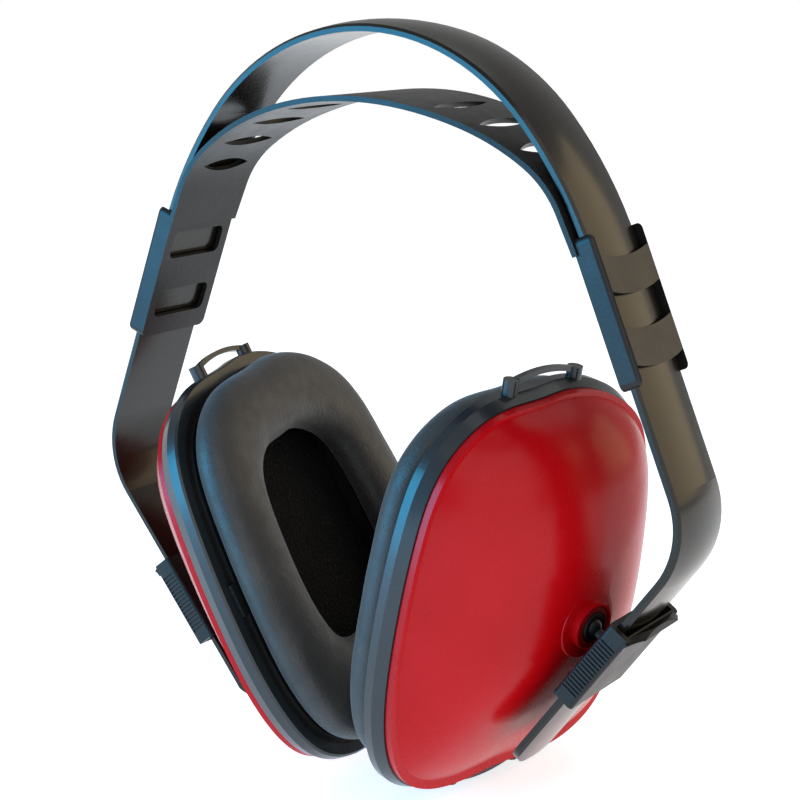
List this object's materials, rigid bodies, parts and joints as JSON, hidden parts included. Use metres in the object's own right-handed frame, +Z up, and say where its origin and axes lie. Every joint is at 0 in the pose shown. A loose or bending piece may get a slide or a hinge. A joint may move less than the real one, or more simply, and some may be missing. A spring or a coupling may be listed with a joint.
{
  "type": "earmuff hearing protector",
  "caption": "Over-the-head earmuff: sprung headband with a slotted suspension strap and two padded ear cups on sliding ball joints.",
  "frame": {"origin": "under the middle of the whole part's bounding box, level with the lowest point of the cups", "axes": "+X towards the wearer's right cup, +Y towards the wearer's back, +Z up to the crown of the headband"},
  "size_m": [0.1844, 0.0986, 0.205],
  "materials": {
    "headband": "semi-gloss moulded black",
    "strap": "satin moulded black",
    "slider": "satin moulded black",
    "stud": "satin moulded dark grey",
    "socket": "satin",
    "snap_ring": "satin red",
    "shell": "glossy moulded red",
    "rim": "semi-gloss moulded black",
    "plate": "satin moulded black",
    "cover": "soft matte black vinyl skin",
    "cushion_foam": "open foam",
    "acoustic_foam": "black open-cell foam"
  },
  "bodies": {
    "headband": {"headband": "headband"},
    "strap": {"suspension_strap": "strap"},
    "left_slider": {"left_slider": "slider", "left_ball_stud": "stud"},
    "left_socket": {"left_ball_socket": "socket"},
    "left_swivel": {"left_snap_ring": "snap_ring"},
    "left_cup": {"left_cup_shell": "shell", "left_rim_ring": "rim", "left_cushion_plate": "plate", "left_cushion_cover": "cover", "left_cushion_foam": "cushion_foam", "left_acoustic_foam": "acoustic_foam"},
    "right_slider": {"right_slider": "slider", "right_ball_stud": "stud"},
    "right_socket": {"right_ball_socket": "socket"},
    "right_swivel": {"right_snap_ring": "snap_ring"},
    "right_cup": {"right_cup_shell": "shell", "right_rim_ring": "rim", "right_cushion_plate": "plate", "right_cushion_cover": "cover", "right_cushion_foam": "cushion_foam", "right_acoustic_foam": "acoustic_foam"}
  },
  "joints": [
    {"name": "strap_play", "type": "slide", "parent": "headband", "child": "strap", "axis": [0, 0, 1], "range_m": [-0.0006, 0.0006]},
    {"name": "left_slide", "type": "slide", "parent": "headband", "child": "left_slider", "axis": [0.6088, 0, -0.7934], "range_m": [-0.018, 0.0005]},
    {"name": "left_tilt", "type": "hinge", "parent": "left_slider", "child": "left_socket", "pos_m": [-0.05679, -0.00439, 0.0469], "axis": [0.1202, -0.9902, -0.071], "range_deg": [-14, 1]},
    {"name": "left_swivel", "type": "hinge", "parent": "left_socket", "child": "left_swivel", "pos_m": [-0.05679, -0.00439, 0.0469], "axis": [0.416, 0.1152, -0.902], "range_deg": [-2, 12]},
    {"name": "left_turn", "type": "hinge", "parent": "left_swivel", "child": "left_cup", "pos_m": [-0.05679, -0.00439, 0.0469], "axis": [-0.9014, -0.0789, -0.4258], "range_deg": [-10, 12]},
    {"name": "right_slide", "type": "slide", "parent": "headband", "child": "right_slider", "axis": [-0.6088, 0, -0.7934], "range_m": [-0.012, 0.0005]},
    {"name": "right_tilt", "type": "hinge", "parent": "right_slider", "child": "right_socket", "pos_m": [0.06117, -0.00439, 0.05261], "axis": [0.2164, 0.9763, 0], "range_deg": [-2, 1]},
    {"name": "right_swivel", "type": "hinge", "parent": "right_socket", "child": "right_swivel", "pos_m": [0.06117, -0.00439, 0.05261], "axis": [0.1963, -0.0435, 0.9796], "range_deg": [-1, 12]},
    {"name": "right_turn", "type": "hinge", "parent": "right_swivel", "child": "right_cup", "pos_m": [0.06117, -0.00439, 0.05261], "axis": [0.9564, -0.212, -0.2011], "range_deg": [-6, 12]}
  ]
}
